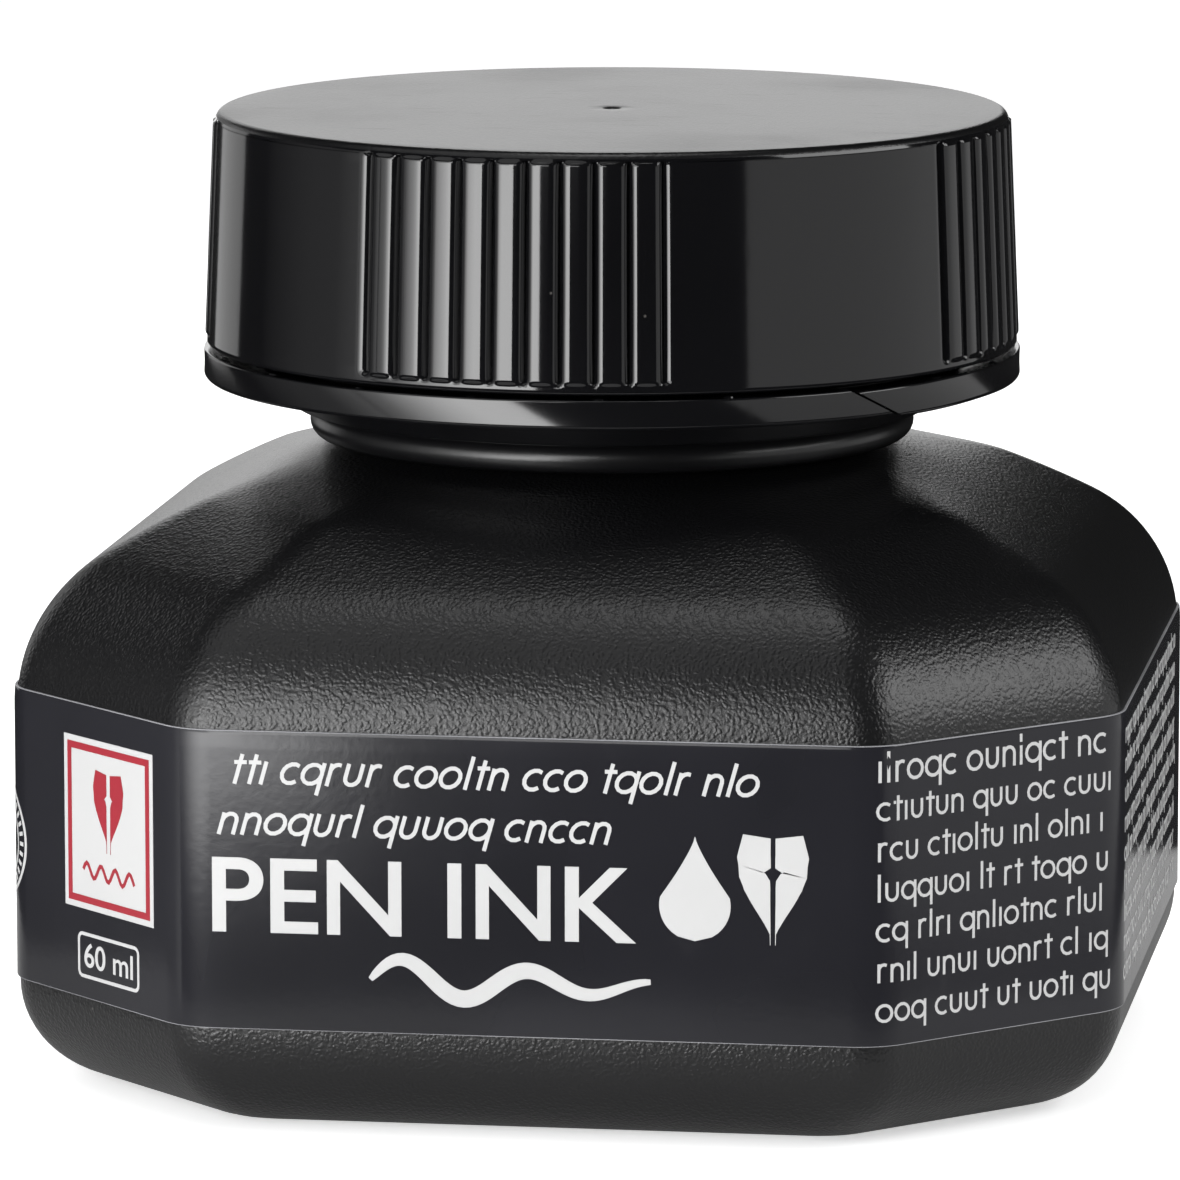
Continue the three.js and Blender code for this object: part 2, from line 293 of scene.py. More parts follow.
def thread(loft, wall_radius, height, start_height, turns, start_turn, slot=0):
    """A screw thread that follows its wall and sinks into it at both ends."""
    sizes = bpy.context.scene.ink_thread
    inward = math.copysign(1, height)
    sunk, steps_a_turn, run_in = 0.2 * MM, 120, 0.12
    rooted = wall_radius - inward * sunk
    crest = wall_radius + height
    ease = 0.18 * sizes.crest
    profile = [
        (rooted, -sizes.foot / 2),
        (crest - inward * ease, -sizes.crest / 2 - ease / 2),
        (crest, -sizes.crest / 2 + ease),
        (crest, sizes.crest / 2 - ease),
        (crest - inward * ease, sizes.crest / 2 + ease / 2),
        (rooted, sizes.foot / 2),
    ]
    steps = round(turns * steps_a_turn)
    rings = []
    for i in range(steps + 1):
        turn = turns * i / steps
        full = smooth(min(turn, turns - turn), -0.02, run_in)
        a = TAU * (start_turn + turn)
        ring = []
        for r, h in profile:
            radius = rooted + (r - rooted) * full
            z = start_height + sizes.pitch * turn + h * (0.4 + 0.6 * full)
            ring.append((radius * math.cos(a), radius * math.sin(a), z))
        rings.append(ring)
    starts = loft.rings(rings, slot)
    loft.cap([starts[0] + i for i in range(len(profile))], slot)
    loft.cap([starts[-1] + i for i in reversed(range(len(profile)))], slot)


# --- The body's section ---------------------------------------------------------------------------

WIDE, EDGE, NARROW = 10, 6, 4  # steps on half a wide facet, an edge, and half a narrow facet
ROUND_STEPS = 8 * (WIDE + EDGE + NARROW)


def section(half_width, moved=0.0):
    """The eight-sided outline with rounded edges, moved out by a distance, anticlockwise from +X."""
    body = bpy.context.scene.ink_body
    apothem = half_width + moved
    radius = body.edge_radius + moved
    half_facet = body.facet_width / 2 + moved * math.tan(math.pi / 8)
    centre = (apothem - radius, half_facet - radius * math.tan(math.pi / 8))
    eighth = [(apothem, centre[1] * i / WIDE) for i in range(WIDE)]
    eighth += arc(*centre, radius, 0, 45, EDGE)
    last = eighth[-1]
    middle = (last[0] + last[1]) / 2
    eighth += line(last, (middle, middle), NARROW)[:-1]
    quarter = eighth + [(middle, middle)] + [(y, x) for x, y in reversed(eighth[1:])]
    outline = []
    for c, s in ((1, 0), (0, 1), (-1, 0), (0, -1)):
        outline += [(x * c - y * s, x * s + y * c) for x, y in quarter]
    return outline


class Shape:
    """The heights and curves of the body's side, worked out from the sizes."""

    def __init__(self):
        body = bpy.context.scene.ink_body
        self.body = body
        self.half = reach("bottle_shell")
        turn = body.shoulder_turn
        self.turn = math.degrees(turn)
        self.crown_r = self.half - body.shoulder_radius * (1 - math.cos(turn))
        self.crown_z = body.wall_top + body.shoulder_radius * math.sin(turn)
        end = math.acos(math.cos(turn) - (self.crown_r - body.root_radius) / body.crown_radius)
        self.crown_end = math.degrees(end)
        self.neck_foot = self.crown_z + body.crown_radius * (math.sin(end) - math.sin(turn))
        self.collar_foot = self.neck_foot + 2 * body.root_bead
        self.neck_straight = self.collar_foot + body.collar_height
        self.mouth = top("bottle_shell")
        self.bead_foot = self.mouth - body.finish_height - body.bead_height
        self.outline = section(self.half)

    def side(self, inset):
        """The side's outline from the base's flat to the waist, moved in by a distance."""
        body = self.body
        turn = math.radians(self.turn)
        crown = (
            self.crown_r - body.crown_radius * math.cos(turn),
            self.crown_z - body.crown_radius * math.sin(turn),
        )
        base = body.base_radius
        base_arc = arc(self.half - base, base, base - inset, -90, 0, 16)
        shoulder = (self.half - body.shoulder_radius, body.wall_top, body.shoulder_radius - inset)
        shoulder_arc = arc(*shoulder, 0, self.turn, 18)
        crown_arc = arc(*crown, body.crown_radius - inset, self.turn, self.crown_end, 22)
        wall = line(base_arc[-1], shoulder_arc[0], 8)[:-1]
        return line((0, inset), base_arc[0], 4)[:-1] + base_arc + wall + shoulder_arc + crown_arc[1:]

    def ring(self, r, z):
        """One ring of the bottle: eight-sided on the body, round on the neck."""
        round_share = smooth(z, self.neck_foot - self.body.rounding_height, self.neck_foot)
        points = []
        for step, (x, y) in enumerate(self.outline):
            a = TAU * step / ROUND_STEPS
            px = x / self.half * (1 - round_share) + math.cos(a) * round_share
            py = y / self.half * (1 - round_share) + math.sin(a) * round_share
            points.append((r * px, r * py, z))
        return points

    def side_radius(self, z):
        """Half width of the body's flat side at a height on the upright wall or just above it."""
        rise = max(0.0, z - self.body.wall_top)
        radius = self.body.shoulder_radius
        return self.half - radius + math.sqrt(radius * radius - rise * rise)


def eased(outline, radius, steps=3):
    """The outline with each inner corner rounded by a radius, or by less where its sides are short."""
    rounded = [outline[0]]
    for before, corner, after in zip(outline, outline[1:], outline[2:]):
        a, b, c = Vector(before), Vector(corner), Vector(after)
        cut = min(radius, 0.45 * (a - b).length, 0.45 * (c - b).length)
        start = b + (a - b).normalized() * cut
        end = b + (c - b).normalized() * cut
        for i in range(steps + 1):
            t = i / steps
            rounded.append(tuple(start * (1 - t) ** 2 + b * 2 * t * (1 - t) + end * t * t))
    rounded.append(outline[-1])
    return rounded


# --- Shader node groups ---------------------------------------------------------------------------


class Wiring:
    """Short-hand for adding nodes to a tree and joining them."""

    def __init__(self, tree):
        self.tree = tree

    def add(self, kind, inputs=(), **settings):
        node = self.tree.nodes.new("ShaderNode" + kind)
        for name, value in settings.items():
            setattr(node, name, value)
        for socket, value in dict(inputs).items():
            self.feed(node.inputs[socket], value)
        return node

    def feed(self, socket, value):
        """Joins a node's output to a socket, or sets the socket's own value."""
        if isinstance(value, bpy.types.NodeSocket):
            self.tree.links.new(value, socket)
        else:
            socket.default_value = value

    def maths(self, operation, *values):
        return self.add("Math", dict(enumerate(values)), operation=operation).outputs[0]

    def remap(self, value, low, high, new_low=0.0, new_high=1.0):
        inputs = {"Value": value, "From Min": low, "From Max": high, "To Min": new_low, "To Max": new_high}
        return self.add("MapRange", inputs, interpolation_type="SMOOTHSTEP").outputs["Result"]

    def noise(self, vector, scale, detail=2.0, roughness=0.5):
        inputs = {"Vector": vector, "Scale": scale, "Detail": detail, "Roughness": roughness}
        return self.add("TexNoise", inputs).outputs["Fac"]


def node_group(name, inputs, output, build):
    """A shader node group with named float or colour inputs and one output, made once."""
    tree = bpy.data.node_groups.get(name)
    if tree:
        return tree
    tree = bpy.data.node_groups.new(name, "ShaderNodeTree")
    for socket, value in inputs.items():
        kind = "NodeSocketFloat" if isinstance(value, float) else "NodeSocketColor"
        made = tree.interface.new_socket(name=socket, in_out="INPUT", socket_type=kind)
        made.default_value = value
    kind = "NodeSocketColor" if output == "Color" else "NodeSocketFloat"
    tree.interface.new_socket(name=output, in_out="OUTPUT", socket_type=kind)
    wiring = Wiring(tree)
    given = tree.nodes.new("NodeGroupInput")
    place = wiring.add("TexCoord").outputs["Object"]
    result = tree.nodes.new("NodeGroupOutput")
    tree.links.new(build(wiring, place, given.outputs), result.inputs[0])
    return tree


def leather_grain():
    """Fine pebbled grain of a blasted mould: small cells with soft valleys, uneven in size."""

    def build(w, place, given):
        drift = w.add("TexNoise", {"Vector": place, "Scale": w.maths("MULTIPLY", given["Scale"], 0.35)})
        bent = w.add("VectorMath", {0: drift.outputs["Color"], 1: (0.00035,) * 3}, operation="MULTIPLY")
        moved = w.add("VectorMath", {0: place, 1: bent.outputs[0]}, operation="ADD").outputs[0]
        shape = {"Vector": moved, "Scale": given["Scale"], "Smoothness": 0.35}
        cells = w.add("TexVoronoi", shape, feature="SMOOTH_F1")
        pebble = w.remap(cells.outputs["Distance"], 0.1, 0.75, 1.0, 0.0)
        fine = w.noise(place, w.maths("MULTIPLY", given["Scale"], 2.2), 3.0)
        return w.maths("ADD", w.maths("MULTIPLY", pebble, 0.65), w.maths("MULTIPLY", fine, 0.55))

    return node_group("Leather Grain", {"Scale": 2600.0}, "Height", build)


def slow_waves():
    """The slight unevenness of a moulded gloss surface."""

    def build(w, place, given):
        broad = w.noise(place, given["Scale"], 1.0)
        fine = w.noise(place, w.maths("MULTIPLY", given["Scale"], 6.0), 2.0)
        return w.maths("ADD", broad, w.maths("MULTIPLY", fine, given["Fine"]))

    return node_group("Moulded Waves", {"Scale": 120.0, "Fine": 0.1}, "Height", build)


def handling_wear():
    """Thin scattered rub marks and soft smudges, as a share of extra roughness."""

    def build(w, place, given):
        stretch = w.add("Mapping", {"Vector": place, "Rotation": (0.4, 0.3, 0.7), "Scale": (1, 9, 1)})
        hair = w.noise(stretch.outputs[0], given["Scale"], 4.0, 0.6)
        lines = w.remap(hair, 0.6, 0.72)
        smudge = w.remap(w.noise(place, 70.0, 3.0), 0.45, 0.75)
        return w.maths("ADD", w.maths("MULTIPLY", lines, 0.7), w.maths("MULTIPLY", smudge, given["Smudge"]))

    return node_group("Handling Wear", {"Scale": 260.0, "Smudge": 0.5}, "Mask", build)


def dust():
    """Sparse pale specks."""

    def build(w, place, given):
        cells = w.add("TexVoronoi", {"Vector": place, "Scale": given["Scale"]})
        speck = w.remap(cells.outputs["Distance"], 0.03, 0.09, 1.0, 0.0)
        chance = w.add("SeparateColor", {"Color": cells.outputs["Color"]}).outputs[0]
        chosen = w.maths("GREATER_THAN", chance, 0.93)
        return w.maths("MULTIPLY", w.maths("MULTIPLY", speck, chosen), given["Amount"])

    return node_group("Dust", {"Scale": 900.0, "Amount": 0.3}, "Mask", build)


def tone():
    """A colour that drifts a little lighter and darker over the surface, with dust laid on it."""

    def build(w, place, given):
        drift = w.remap(w.noise(place, given["Scale"], 3.0), 0.3, 0.7, -1.0, 1.0)
        factor = w.maths("ADD", w.maths("MULTIPLY", drift, given["Amount"]), 1.0)
        tinted = w.add("VectorMath", {0: given["Color"], "Scale": factor}, operation="SCALE").outputs[0]
        specks = w.add("Group", {"Amount": given["Dust"]}, node_tree=dust()).outputs[0]
        mixed = w.add("Mix", {"Factor": specks, 6: tinted, 7: (0.45, 0.43, 0.4, 1)}, data_type="RGBA")
        return mixed.outputs[2]

    inputs = {"Color": (0.01, 0.01, 0.01, 1), "Amount": 0.1, "Scale": 60.0, "Dust": 0.0}
    return node_group("Surface Tone", inputs, "Color", build)


# --- Materials ------------------------------------------------------------------------------------


def finish_material(name, rgb, roughness, drift=0.12, specks=0.0, wear=0.04, bump=None, **sockets):
    """A plastic, film, foam or ink finish.

    bump is (group, scale, depth in metres, other inputs of the group). Other sockets of the shader are
    given by name, with underscores for spaces.
    """
    material = bpy.data.materials.get(name)
    if material:
        return material
    material = bpy.data.materials.new(name)
    material.use_nodes = True
    material.node_tree.nodes.clear()
    w = Wiring(material.node_tree)
    surface = w.add("BsdfPrincipled")
    output = w.add("OutputMaterial")
    w.feed(output.inputs["Surface"], surface.outputs[0])
    inputs = {"Color": (*rgb, 1), "Amount": drift, "Dust": specks}
    w.feed(surface.inputs["Base Color"], w.add("Group", inputs, node_tree=tone()).outputs[0])
    marks = w.add("Group", node_tree=handling_wear()).outputs[0]
    w.feed(surface.inputs["Roughness"], w.remap(marks, 0.0, 1.0, roughness, roughness + wear))
    if bump:
        group, scale, depth, others = bump
        height = w.add("Group", {"Scale": scale, **others}, node_tree=group()).outputs[0]
        relief = w.add("Bump", {"Height": height, "Strength": 1.0, "Distance": depth})
        w.feed(surface.inputs["Normal"], relief.outputs[0])
    for socket, value in sockets.items():
        surface.inputs[socket.replace("_", " ")].default_value = value
    material.diffuse_color = (*rgb, 1)
    return material


def finish():
    return bpy.context.scene.ink_finish


def bottle_grain():
    bump = (leather_grain, 4800.0, 0.000023, {})
    return finish_material("Grained bottle", finish().bottle, 0.31, specks=0.1, bump=bump)


def bottle_smooth():
    bump = (slow_waves, 260.0, 0.00003, {"Fine": 0.3})
    return finish_material("Smooth bottle", finish().bottle, 0.3, bump=bump)


def neck_gloss():
    bump = (slow_waves, 140.0, 0.00002, {})
    return finish_material("Glossy neck", finish().bottle, 0.2, bump=bump)


def cap_gloss():
    bump = (slow_waves, 150.0, 0.000012, {})
    return finish_material("Glossy cap", finish().cap, 0.08, specks=0.1, bump=bump)


def cap_satin():
    bump = (leather_grain, 5200.0, 0.00001, {})
    return finish_material("Satin cap top", finish().cap, 0.3, specks=0.2, wear=0.06, bump=bump)


def band_gloss():
    bump = (slow_waves, 150.0, 0.00002, {})
    return finish_material("Glossy band", finish().cap, 0.13, bump=bump)


def label_film():
    bump = (slow_waves, 400.0, 0.000004, {"Fine": 0.5})
    return finish_material(
        "Label film", finish().label, 0.14, drift=0.2, wear=0.05, bump=bump, Specular_IOR_Level=0.35
    )


# The cut edges and their rounding are light grey: partly the film's own cut edge, partly a painted highlight
# where the edge catches the light.
def label_edge_with_painted_highlight():
    return finish_material("Label cut edge with painted highlight", (0.16, 0.16, 0.17), 0.5, drift=0.3)


def print_ink(name, rgb):
    bump = (slow_waves, 900.0, 0.000006, {"Fine": 0.6})
    return finish_material(name, rgb, 0.42, drift=0.05, bump=bump)


def liner_foam():
    bump = (leather_grain, 3200.0, 0.00004, {})
    return finish_material("Liner foam", finish().liner, 0.7, drift=0.06, bump=bump, Sheen_Weight=0.2)


def liquid_ink():
    bump = (slow_waves, 60.0, 0.00001, {"Fine": 0.0})
    return finish_material("Ink", finish().ink, 0.03, drift=0.2, wear=0.01, bump=bump, IOR=1.36)


# --- Pieces ---------------------------------------------------------------------------------------


def place(piece, body, slot, *nodes):
    """Fixes a finished piece to its body and hides the CAD nodes it stands for. The slot is not used."""
    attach(piece, body)
    if nodes:
        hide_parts(*nodes)


class INK_OT_bottle(bpy.types.Operator):
    """Moulded bottle: eight-sided body, leaning shoulders and a round neck with its thread"""

    bl_idname = "ink_bottle.bottle"
    bl_label = "Bottle"

    def execute(self, context):
        scene = context.scene
        shape = Shape()
        body = scene.ink_body
        bead, collar = body.root_bead, body.collar_inset
        outside = shape.side(0)
        root = arc(body.root_radius + body.root_reach - bead, shape.neck_foot + bead, bead, -60, 60, 8)
        bead_top = shape.bead_foot + body.bead_height
        neck = [
            root[-1],
            (body.neck_radius - 2 * collar, shape.collar_foot),
            (body.neck_radius - collar, shape.collar_foot),
            (body.neck_radius, shape.neck_straight),
            (body.neck_radius, shape.bead_foot),
            (body.neck_radius + body.bead_reach, shape.bead_foot),
            (body.neck_radius + body.bead_reach, shape.bead_foot + body.bead_height / 2),
            (body.neck_radius, bead_top),
            (body.neck_radius, shape.mouth - 0.3 * MM),
            (body.neck_radius - 0.3 * MM, shape.mouth),
            (body.neck_radius - body.neck_wall, shape.mouth),
            (body.neck_radius - body.neck_wall, shape.neck_straight),
            (body.root_radius - body.wall, shape.neck_foot + body.wall),
        ]
        inside = shape.side(body.wall)[::-1]
        eased_neck = eased(neck, 0.15 * MM)
        outline = outside + root[:-1] + eased_neck + inside
        grained = len(outside)
        smooth_end = grained + len(root) - 1
        slots = [0] * grained + [1] * (smooth_end - grained) + [2] * (len(outline) - smooth_end)
        loft = Loft()
        starts = loft.rings([shape.ring(r, z) for r, z in outline], slots=slots)
        loft.fan(starts[0], ROUND_STEPS, (0, 0, 0), 0, flip=True)
        loft.fan(starts[-1], ROUND_STEPS, (0, 0, body.wall), 2)
        sizes = scene.ink_thread
        foot_height = bead_top + sizes.foot
        thread(loft, body.neck_radius, sizes.height, foot_height, sizes.neck_turns, 0, slot=2)
        piece = loft.build("bottle", [bottle_grain(), bottle_smooth(), neck_gloss()])
        crisp(piece)
        place(piece, "bottle", "bottle_plastic", "bottle_shell")
        return {"FINISHED"}


class INK_OT_fill(bpy.types.Operator):
    """Liquid ink in the bottle"""

    bl_idname = "ink_bottle.fill"
    bl_label = "Ink"

    def execute(self, context):
        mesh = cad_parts["ink_fill"].data
        mesh.materials.clear()
        mesh.materials.append(liquid_ink())
        return {"FINISHED"}


class INK_OT_cap(bpy.types.Operator):
    """Screw cap: a glossy skirt with groups of ribs, a satin top and the thread inside"""

    bl_idname = "ink_bottle.cap"
    bl_label = "Cap"

    def execute(self, context):
        scene = context.scene
        cap = scene.ink_cap
        sizes = scene.ink_thread
        body = scene.ink_body
        foot_z, top_z = foot("cap_shell"), top("cap_shell")
        rib_foot, rib_top = foot_z + cap.rib_margin, top_z - cap.rib_margin
        bore = body.neck_radius + sizes.height + sizes.gap
        ceiling = top_z - cap.top_thickness
        edge = cap.edge_radius
        rib_end, end_rings, middle_rings = 0.5 * MM, 5, 6  # rings lie closer over the last of each rib
        foot_fade, top_fade = 0.25 * MM, 0.1 * MM  # lengths over which the ribs rise out of the skirt
        lip = 0.2 * MM  # chamfer inside the foot
        heights = [foot_z + 0.15 * MM, rib_foot - 0.1 * MM]
        heights += [rib_foot + rib_end * i / end_rings for i in range(end_rings + 1)]
        heights += [rib_foot + (rib_top - rib_foot) * i / middle_rings for i in range(1, middle_rings)]
        heights += [rib_top - rib_end * i / end_rings for i in range(end_rings, -1, -1)]
        heights += [top_z - edge - 0.02 * MM]
        angles = self.columns(cap)

        def skirt(z):
            share = (z - foot_z) / (top_z - foot_z)
            return cap.foot_radius + (cap.top_radius - cap.foot_radius) * share

        def ring(r, z, ribbed=0.0):
            points = []
            for a in angles:
                out = r + ribbed * self.relief(cap, a)
                points.append((out * math.cos(a + FRONT), out * math.sin(a + FRONT), z))
            return points

        outer_foot = skirt(foot_z)
        rings = [ring(bore, foot_z + lip), ring(bore + lip, foot_z)]
        rings += [ring(outer_foot - 0.25 * MM, foot_z), ring(outer_foot - 0.08 * MM, foot_z + 0.05 * MM)]
        for z in heights:
            fade = smooth(z, rib_foot, rib_foot + foot_fade) * (1 - smooth(z, rib_top - top_fade, rib_top))
            rings.append(ring(skirt(z), z, fade))
        gloss_rows = len(rings) + 1
        for r, z in arc(cap.top_radius - edge, top_z - edge, edge, 8, 90, 6):
            rings.append(ring(r, z))
        gate = cap.gate_radius
        for r in (18.4, 15, 11, 7, 3.5, 1.4):
            rings.append(ring(r * MM, top_z))
        rings += [ring(1.3 * gate, top_z), ring(gate, top_z - 0.2 * cap.gate_depth)]
        rings += [ring(0.8 * gate, top_z - 0.9 * cap.gate_depth), ring(0.4 * gate, top_z - cap.gate_depth)]
        slots = [0] * gloss_rows + [1] * (len(rings) - gloss_rows)
        loft = Loft()
        starts = loft.rings(rings, slots=slots)
        loft.fan(starts[-1], len(angles), (0, 0, top_z - cap.gate_depth), 1)
        inner = [ring(bore, foot_z + lip), ring(bore, (foot_z + ceiling) / 2)]
        inner += [ring(bore, ceiling - 0.3 * MM), ring(bore - 0.3 * MM, ceiling), ring(bore * 0.6, ceiling)]
        starts = loft.rings(inner[::-1])
        loft.fan(starts[0], len(angles), (0, 0, ceiling), 0, flip=True)
        bead_top = top("bottle_shell") - body.finish_height
        start = bead_top + sizes.foot - sizes.pitch / 4
        thread(loft, bore, -sizes.height, start, sizes.cap_turns, 0.25)
        piece = loft.build("cap", [cap_gloss(), cap_satin()])
        crisp(piece, 50)
        place(piece, "cap", "cap_plastic", "cap_shell")
        return {"FINISHED"}

    @staticmethod
    def columns(cap):
        """Angles round the skirt from the front: close together in the rib groups, wider between them."""
        rib_steps, panel_steps = 12, 14
        group = TAU / cap.groups
        half = cap.ribs * cap.rib_step / 2
        angles = []
        for g in range(cap.groups):
            start = cap.rib_turn + g * group - half
            angles += [start + cap.rib_step * i / rib_steps for i in range(cap.ribs * rib_steps)]
            panel = group - 2 * half
            near = [cap.rib_step * i / rib_steps for i in range(rib_steps // 2)]
            middle = [near[-1] + (panel - 2 * near[-1]) * i / panel_steps for i in range(1, panel_steps)]
            far = [panel - s for s in reversed(near[1:])]
            angles += [start + 2 * half + s for s in near + middle + far]
        return angles

    @staticmethod
    def relief(cap, angle):
        """How far the ribbed skirt stands out of the plain one at an angle from the front."""
        group = TAU / cap.groups
        half = cap.ribs * cap.rib_step / 2
        within = (angle - cap.rib_turn + half) % group
        if within < 2 * half:
            from_crest = abs(2 * (within / cap.rib_step % 1) - 1)
            rounding = 0.4  # share of its reach that a crest loses towards the groove
            crest = cap.rib_reach * (1 - rounding * from_crest**2)
            return crest - (cap.groove_depth + (1 - rounding) * cap.rib_reach) * from_crest**6
        from_edge = min(within - 2 * half, group - within) / cap.rib_step
        return -cap.groove_depth * max(0.0, 1 - 2 * from_edge) ** 5


class INK_OT_liner(bpy.types.Operator):
    """Foam disc under the cap's top"""

    bl_idname = "ink_bottle.liner"
    bl_label = "Liner"

    def execute(self, context):
        low, high = foot("cap_liner"), top("cap_liner")
        r = reach("cap_liner")
        middle = (low + high) / 2
        dent = low + 0.06 * MM  # ring pressed into the foam by the bottle's mouth
        outline = [(0, low), (r * 0.5, low), (r * 0.87, low), (r * 0.89, dent)]
        outline += [(r * 0.93, dent), (r * 0.95, low), (r, low), (r, middle)]
        outline += [(r, high), (r * 0.5, high), (0, high)]
        steps = 120
        loft = Loft()
        rings = []
        for radius, z in eased(outline, 0.12 * MM)[1:-1]:
            turns = [TAU * i / steps for i in range(steps)]
            rings.append([(radius * math.cos(a), radius * math.sin(a), z) for a in turns])
        starts = loft.rings(rings)
        loft.fan(starts[0], steps, (0, 0, low), flip=True)
        loft.fan(starts[-1], steps, (0, 0, high))
        piece = loft.build("liner", [liner_foam()])
        crisp(piece)
        place(piece, "seal", "liner_foam", "cap_liner")
        return {"FINISHED"}


class INK_OT_band(bpy.types.Operator):
    """Tear band under the cap, opened by a slanting cut, with the stubs of its broken bridges"""

    bl_idname = "ink_bottle.band"
    bl_label = "Tear band"

    def execute(self, context):
        scene = context.scene
        band, body = scene.ink_band, scene.ink_body
        low, high = foot("tear_band"), top("tear_band")
        outer = reach("tear_band")
        hook = body.neck_radius + body.bead_reach - band.hook_grip
        outline = [
            (outer - 0.15 * MM, low),
            (outer, low + 0.15 * MM),
            (outer, high),
            (outer - band.wall, high),
            (outer - band.wall, low + band.hook_thickness),
            (hook, low + band.hook_thickness),
            (hook, low),
        ]
        middle = ((outline[0][0] + outline[-1][0]) / 2, low)
        closed = eased([middle, *outline, middle], 0.1 * MM)[:-1]
        steps = 240
        half_cut = band.cut_width / 2 / outer

        def edge_angle(z, side):
            share = (z - low) / (high - low)
            return band.cut_foot + (band.cut_top - band.cut_foot) * share + side * half_cut

        rings = []
        for i in range(steps + 1):
            t = i / steps
            ring = []
            for r, z in closed:
                start = edge_angle(z, 1)
                a = start + (TAU + edge_angle(z, -1) - start) * t
                sprung = band.lift * (1 - smooth(t, 0.0, 0.06))
                point = r + sprung * 0.6
                ring.append((point * math.cos(a + FRONT), point * math.sin(a + FRONT), z - sprung * 0.35))
            rings.append(ring)
        loft = Loft()
        starts = loft.rings(rings)
        loft.cap([starts[0] + i for i in range(len(closed))])
        loft.cap([starts[-1] + i for i in reversed(range(len(closed)))])
        self.bridges(loft, band, outer - 0.45 * MM, high)
        piece = loft.build("band", [band_gloss()])
        crisp(piece, 40)
        place(piece, "bottle", "band_plastic", "tear_band")
        return {"FINISHED"}

    @staticmethod
    def bridges(loft, band, radius, height):
        """Torn stubs on the band's top, each a little different."""
        chance = random.Random(7)
        for i in range(band.bridges):
            middle = TAU * (i + 0.5) / band.bridges + band.cut_foot
            tall = chance.uniform(0.05, 0.12) * MM
            rings = []
            for share, size in ((-0.4, 1.0), (0.5, 0.85), (1.0, 0.35)):
                ring = []
                for corner in range(8):
                    turn = TAU * corner / 8
                    r = radius + 0.22 * MM * size * math.cos(turn)
                    a = middle + 0.3 * MM / radius * size * math.sin(turn) + FRONT
                    rough = chance.uniform(-0.01, 0.01) * MM * (share > 0)
                    ring.append((r * math.cos(a), r * math.sin(a), height + tall * share + rough))
                rings.append(ring)
            starts = loft.rings(rings)
            loft.cap([starts[0] + c for c in reversed(range(8))])
            loft.cap([starts[-1] + c for c in range(8)])


# --- Label and print ------------------------------------------------------------------------------


class Wrap:
    """Places points on the label's face: u runs round the body from the front, v is height, lift is out."""

    def __init__(self):
        label = bpy.context.scene.ink_label
        self.shape = Shape()
        outline = [Vector(p) for p in section(self.shape.half, label.gap + label.thickness)]
        front = ROUND_STEPS * 3 // 4
        self.points = outline[front:] + outline[: front + 1]
        self.at = [0.0]
        for a, b in zip(self.points, self.points[1:]):
            self.at.append(self.at[-1] + (b - a).length)
        self.round = self.at[-1]
        count = len(outline)
        self.normals = []
        for i in range(count + 1):
            along = self.points[(i + 1) % count] - self.points[i - 1 if i else count - 1]
            self.normals.append(Vector((along.y, -along.x)).normalized())

    def __call__(self, u, v, lift=0.0):
        u = u % self.round
        i = min(bisect.bisect_right(self.at, u), len(self.at) - 1) - 1
        share = (u - self.at[i]) / (self.at[i + 1] - self.at[i])
        point = self.points[i].lerp(self.points[i + 1], share)
        normal = self.normals[i].lerp(self.normals[i + 1], share)
        lean = self.shape.half - self.shape.side_radius(v)
        point = point + normal * (lift - lean)
        return (point.x, point.y, v)


class INK_OT_label(bpy.types.Operator):
    """Printed film wrapped round all eight sides, its outer end lying over the inner one at the back"""

    bl_idname = "ink_bottle.label"
    bl_label = "Label"

    def execute(self, context):
        scene = context.scene
        label = scene.ink_label
        wrap = Wrap()
        low, high = foot("label_wrap"), top("label_wrap")
        thick = label.thickness
        turn_share = ((label.seam - FRONT) / TAU) % 1
        seam = turn_share * wrap.round
        wall_top = scene.ink_body.wall_top
        bevel, softened = 0.04 * MM, 0.02 * MM  # height and depth of the cut edges' rounding
        heights = [low, low + bevel, (low + wall_top) / 2, wall_top]
        heights += [wall_top + (high - wall_top) * i / 4 for i in range(1, 4)] + [high - bevel, high]
        face = [softened] + [0.0] * (len(heights) - 2) + [softened]
        stations = sorted(
            {a for a in wrap.at if a < seam}
            | {a - wrap.round for a in wrap.at if a > seam}
            | {seam, seam - wrap.round}
        )
        stations += [seam + label.overlap * i / 12 for i in range(1, 13)]
        rings = []
        for u in stations:
            over = smooth(u, seam - 2.5 * MM, seam - 0.2 * MM) * (thick + 0.01 * MM)
            outer = [wrap(u, z, over - cut) for z, cut in zip(heights, face)]
            inner = [wrap(u, z, over - thick) for z in heights]
            rings.append(outer + inner[::-1])
        rows = len(heights)
        loft = Loft()
        starts = loft.rings(rings)
        edge_faces = {rows - 1, 2 * rows - 1}
        count = 2 * rows
        for f in range(len(loft.faces)):
            column = f % count
            # Slot 1 puts the light grey edge finish, with its painted highlight, on the cut edges, their
            # rounding and the ends.
            loft.slots[f] = 1 if column in edge_faces or column in (0, rows - 2) else 0
        loft.cap([starts[0] + i for i in range(count)], 1)
        loft.cap([starts[-1] + i for i in reversed(range(count))], 1)
        piece = loft.build("label", [label_film(), label_edge_with_painted_highlight()])
        crisp(piece, 40)
        place(piece, "bottle", "label_film", "label_wrap")
        return {"FINISHED"}


